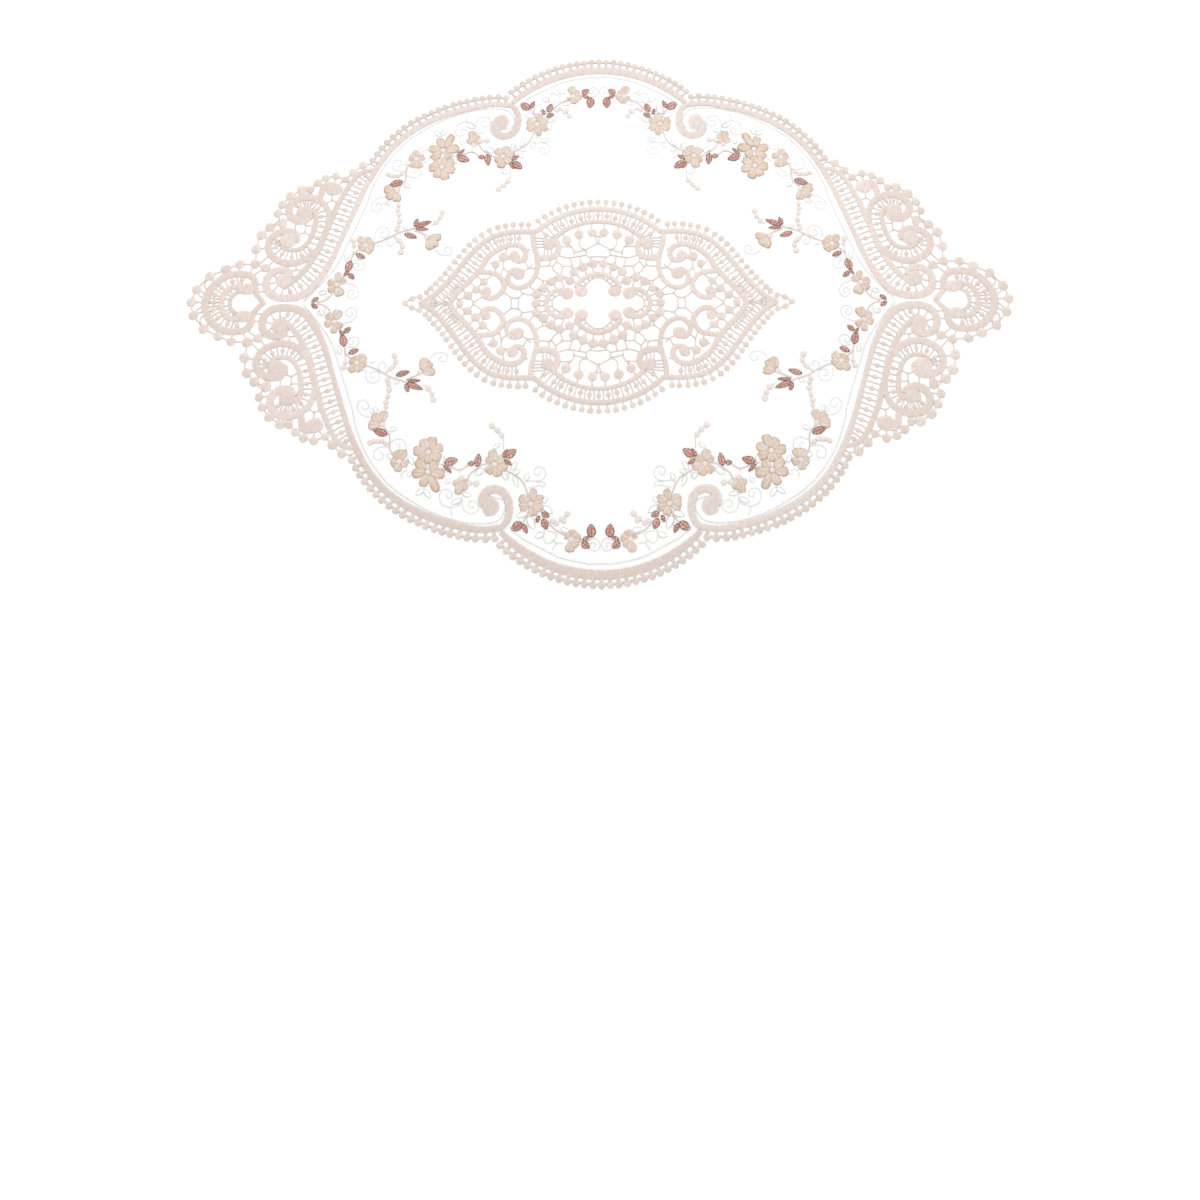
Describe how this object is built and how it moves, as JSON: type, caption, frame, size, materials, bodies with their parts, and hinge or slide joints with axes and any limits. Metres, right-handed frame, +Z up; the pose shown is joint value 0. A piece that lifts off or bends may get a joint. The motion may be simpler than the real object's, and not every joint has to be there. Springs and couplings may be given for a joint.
{
  "type": "lace placemat",
  "caption": "Oblong lace placemat that lies flat: sheer white ground with a scalloped satin rim, openwork lace ends and an openwork medallion in the middle.",
  "frame": {"origin": "middle of the mat, on the surface it lies on", "axes": "+X along the mat's length from point to point, +Y across it to the far side, +Z up"},
  "size_m": [0.45, 0.2986, 0.0016],
  "materials": {
    "sheer_white": "sheer plain-woven white cloth",
    "satin_beige": "dense satin stitch in pale pinkish beige thread",
    "lace_beige": "openwork lace of pale pinkish beige thread"
  },
  "bodies": {
    "root": {"sheer_ground": "sheer_white", "medallion": "lace_beige", "rim_lobe_far": "satin_beige", "rim_corner_far_right": "satin_beige", "rim_corner_far_left": "satin_beige", "rim_lobe_near": "satin_beige", "rim_corner_near_right": "satin_beige", "rim_corner_near_left": "satin_beige", "lace_end_right": "lace_beige", "lace_end_left": "lace_beige"}
  },
  "joints": []
}
